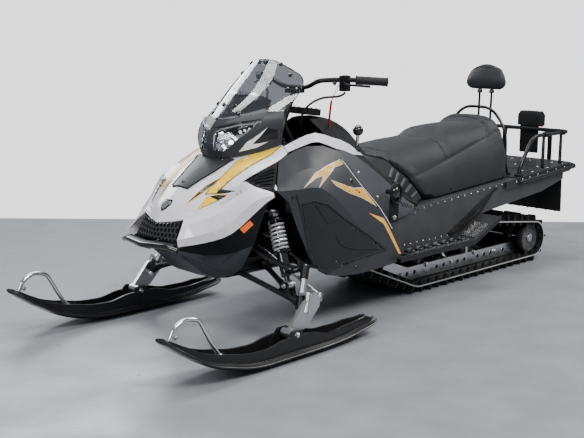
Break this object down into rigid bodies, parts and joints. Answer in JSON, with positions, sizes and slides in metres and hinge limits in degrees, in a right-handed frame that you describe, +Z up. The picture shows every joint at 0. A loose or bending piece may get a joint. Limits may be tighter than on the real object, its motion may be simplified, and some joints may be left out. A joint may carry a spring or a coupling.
{
  "type": "snowmobile",
  "caption": "Long-track two-seat snowmobile with steered skis, handlebar, windshield, stepped seat, backrest and cargo rack.",
  "frame": {"origin": "on the floor under the middle of the machine's overall length and width", "axes": "+X forward over the skis, +Y to the rider's left, +Z up"},
  "size_m": [3.174, 1.15, 1.132],
  "materials": {
    "tunnel_alloy": "satin grey coat",
    "deck_grey": "satin",
    "board_grey": "satin",
    "engine_black": "matt",
    "frame_black": "satin",
    "charcoal_plastic": "moulded satin",
    "black_plastic": "moulded matt",
    "hood_white": "gloss",
    "grille_black": "matt",
    "bumper_black": "matt",
    "cowl_charcoal": "satin",
    "lamp_glass": "polished clear",
    "windshield_clear": "polished clear",
    "seat_vinyl": "grained vinyl",
    "rubber_black": "matt",
    "track_rubber": "matt",
    "rail_alloy": "satin",
    "wheel_black": "satin",
    "shock_silver": "plated",
    "tether_red": "satin",
    "grip_rubber": "matt",
    "cable_black": "satin",
    "forged_alloy": "forged satin",
    "ski_plastic": "satin",
    "loop_alloy": "plated"
  },
  "bodies": {
    "chassis": {"tunnel": "tunnel_alloy", "cargo_deck": "deck_grey", "running_board_left": "board_grey", "running_board_right": "board_grey", "engine": "engine_black", "front_frame": "frame_black", "belly_pan": "charcoal_plastic", "lower_cheek_left": "black_plastic", "lower_cheek_right": "black_plastic", "hood": "hood_white", "hood_insert": "black_plastic", "grille": "grille_black", "front_bumper": "bumper_black", "headlamp_cowl": "cowl_charcoal", "headlamps": "lamp_glass", "windshield": "windshield_clear", "console": "black_plastic", "gauge_pod": "black_plastic", "side_panel_left": "charcoal_plastic", "side_panel_right": "charcoal_plastic", "air_vent_left": "black_plastic", "air_vent_right": "black_plastic", "side_trim_left": "hood_white", "side_trim_right": "hood_white", "tank_cover_left": "charcoal_plastic", "tank_cover_right": "charcoal_plastic", "recoil_handle": "black_plastic", "shift_lever": "black_plastic", "seat": "seat_vinyl", "backrest_pad": "seat_vinyl", "backrest_frame": "frame_black", "grab_hoop": "rubber_black", "cargo_rack": "frame_black", "tail_light": "black_plastic", "rear_bumper": "frame_black", "snow_flap": "rubber_black", "track": "track_rubber", "slide_frame": "rail_alloy", "idler_wheels": "wheel_black", "drive_axle": "rail_alloy", "a_arms_left": "frame_black", "a_arms_right": "frame_black", "shock_left": "shock_silver", "shock_right": "shock_silver", "tether_cap": "tether_red"},
    "steering": {"handlebar": "frame_black", "hand_controls": "grip_rubber", "control_cables": "cable_black"},
    "spindle_l": {"spindle_left": "forged_alloy"},
    "spindle_r": {"spindle_right": "forged_alloy"},
    "tie_rod_l": {"tie_rod_left": "forged_alloy"},
    "tie_rod_r": {"tie_rod_right": "forged_alloy"},
    "ski_l": {"ski_left": "ski_plastic", "ski_loop_left": "loop_alloy"},
    "ski_r": {"ski_right": "ski_plastic", "ski_loop_right": "loop_alloy"}
  },
  "joints": [
    {"name": "steer", "type": "hinge", "parent": "chassis", "child": "steering", "pos_m": [0.43, 0, 0.992], "axis": [-0.454, 0, 0.891], "range_deg": [-35, 35]},
    {"name": "spindle_left_turn", "type": "hinge", "parent": "chassis", "child": "spindle_l", "pos_m": [0.862, 0.462, 0.188], "axis": [-0.405, -0.2181, 0.8879], "range_deg": [-28, 28]},
    {"name": "spindle_right_turn", "type": "hinge", "parent": "chassis", "child": "spindle_r", "pos_m": [0.862, -0.462, 0.188], "axis": [-0.405, 0.2181, 0.8879], "range_deg": [-28, 28]},
    {"name": "tie_rod_left_pivot", "type": "hinge", "parent": "spindle_l", "child": "tie_rod_l", "pos_m": [0.746, 0.458, 0.2], "axis": [-0.405, -0.2181, 0.8879], "range_deg": [-28, 28]},
    {"name": "tie_rod_right_pivot", "type": "hinge", "parent": "spindle_r", "child": "tie_rod_r", "pos_m": [0.746, -0.458, 0.2], "axis": [-0.405, 0.2181, 0.8879], "range_deg": [-28, 28]},
    {"name": "ski_left_pitch", "type": "hinge", "parent": "spindle_l", "child": "ski_l", "pos_m": [0.955, 0.49, 0.092], "axis": [0, -1, 0], "range_deg": [-8, 12]},
    {"name": "ski_right_pitch", "type": "hinge", "parent": "spindle_r", "child": "ski_r", "pos_m": [0.955, -0.49, 0.092], "axis": [0, -1, 0], "range_deg": [-8, 12]}
  ],
  "couplings": [
    {"joint": "spindle_left_turn", "follows": "steer", "ratio": 0.8},
    {"joint": "spindle_right_turn", "follows": "steer", "ratio": 0.8},
    {"joint": "tie_rod_left_pivot", "follows": "steer", "ratio": -0.8},
    {"joint": "tie_rod_right_pivot", "follows": "steer", "ratio": -0.8}
  ]
}
